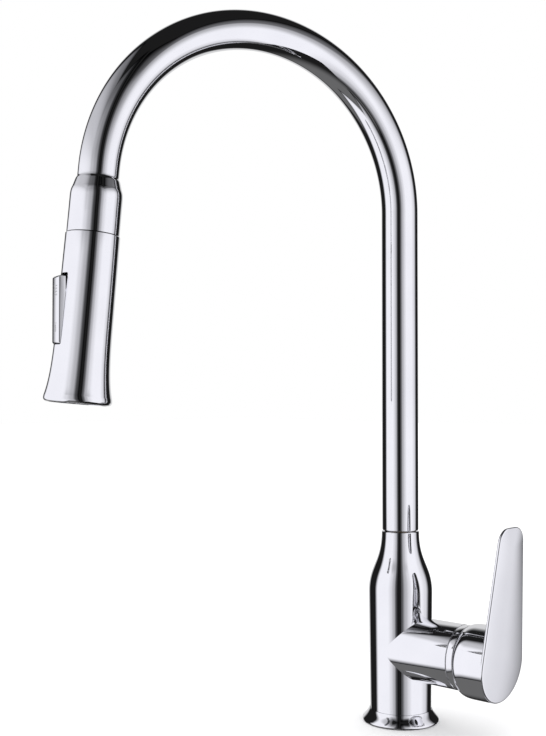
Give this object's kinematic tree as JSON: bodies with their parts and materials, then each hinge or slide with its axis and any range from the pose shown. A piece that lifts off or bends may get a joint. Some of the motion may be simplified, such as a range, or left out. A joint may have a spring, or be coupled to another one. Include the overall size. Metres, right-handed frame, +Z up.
{
  "type": "pull-down kitchen faucet",
  "caption": "Polished chrome single-lever kitchen faucet: gooseneck spout, side-arm valve, and a docked pull-down spray head with a rocker button.",
  "frame": {"origin": "centre of the base, on the deck it stands on", "axes": "+Z up, the valve arm and lever along +X, -Y is the front over the sink; at rest the spout is swivelled 18 degrees off the front"},
  "size_m": [0.1817, 0.2683, 0.4721],
  "materials": {
    "chrome": "polished",
    "brass": "satin",
    "steel": "satin",
    "rubber": "matte",
    "nozzle_rubber": "matte",
    "white_plastic": "matte",
    "grey_plastic": "satin",
    "ceramic": "polished",
    "braid": "satin"
  },
  "bodies": {
    "faucet_body": {"base_flange": "chrome", "base_gasket": "rubber", "body_shell": "chrome", "waterway_core": "brass", "spout_bush_upper": "white_plastic", "spout_bush_lower": "white_plastic", "seat_gasket": "rubber", "cartridge_housing": "grey_plastic", "fixed_disc": "ceramic", "cartridge_nut": "brass", "bonnet": "chrome", "trim_ring": "chrome"},
    "stem_turntable": {"stem_carrier": "white_plastic", "stem_pin": "steel"},
    "sliding_disc": {"moving_disc": "ceramic"},
    "handle": {"handle_lever": "chrome", "cartridge_stem": "brass", "handle_set_screw": "steel", "index_plug": "grey_plastic"},
    "spout": {"spout_tube": "chrome", "spout_spigot": "brass", "spout_clip": "steel", "spigot_oring_upper": "rubber", "spigot_oring_lower": "rubber", "dock_magnet": "grey_plastic", "dock_guide": "grey_plastic", "pull_hose": "braid", "hose_tail_coupling": "brass"},
    "hose_end": {"hose_ferrule": "steel", "swivel_tail": "brass"},
    "spray_head": {"spray_shell": "chrome", "docking_neck": "grey_plastic", "dock_plate": "steel", "hose_nut": "brass", "inlet_screen": "rubber", "spray_core": "white_plastic", "check_valve": "white_plastic", "rocker_pin": "steel", "face_gasket": "rubber", "nozzle_mat": "nozzle_rubber", "spray_face": "grey_plastic", "aerator_housing": "white_plastic", "aerator_screen": "steel"},
    "rocker": {"rocker_button": "chrome"},
    "diverter": {"diverter_plunger": "white_plastic"}
  },
  "joints": [
    {"name": "spout_swivel", "type": "hinge", "parent": "faucet_body", "child": "spout", "pos_m": [0, 0, 0.12], "axis": [0, 0, 1], "range_deg": [-102, 138]},
    {"name": "temperature_turn", "type": "hinge", "parent": "faucet_body", "child": "stem_turntable", "pos_m": [0.041, 0, 0.0508], "axis": [1, 0, 0], "range_deg": [-50, 50]},
    {"name": "flow_tilt", "type": "hinge", "parent": "stem_turntable", "child": "handle", "pos_m": [0.041, 0, 0.0508], "axis": [0, 1, 0], "range_deg": [0, 20]},
    {"name": "disc_slide", "type": "slide", "parent": "stem_turntable", "child": "sliding_disc", "axis": [0, 0, 1], "range_m": [0, 0.0021]},
    {"name": "head_pull", "type": "slide", "parent": "spout", "child": "hose_end", "axis": [-0.0285, -0.0878, -0.9957], "range_m": [0, 0.2]},
    {"name": "head_spin", "type": "hinge", "parent": "hose_end", "child": "spray_head", "pos_m": [-0.06929, -0.21327, 0.31938], "axis": [-0.0285, -0.0878, -0.9957], "range_deg": [-180, 180]},
    {"name": "rocker_press", "type": "hinge", "parent": "spray_head", "child": "rocker", "pos_m": [-0.07461, -0.22961, 0.27377], "axis": [-0.9511, 0.309, 0], "range_deg": [0, 12]},
    {"name": "diverter_slide", "type": "slide", "parent": "spray_head", "child": "diverter", "axis": [-0.0285, -0.0878, -0.9957], "range_m": [0, 0.0031]}
  ],
  "couplings": [
    {"joint": "disc_slide", "follows": "flow_tilt", "m_per_rad": 0.0058536},
    {"joint": "diverter_slide", "follows": "rocker_press", "m_per_rad": 0.0143}
  ]
}
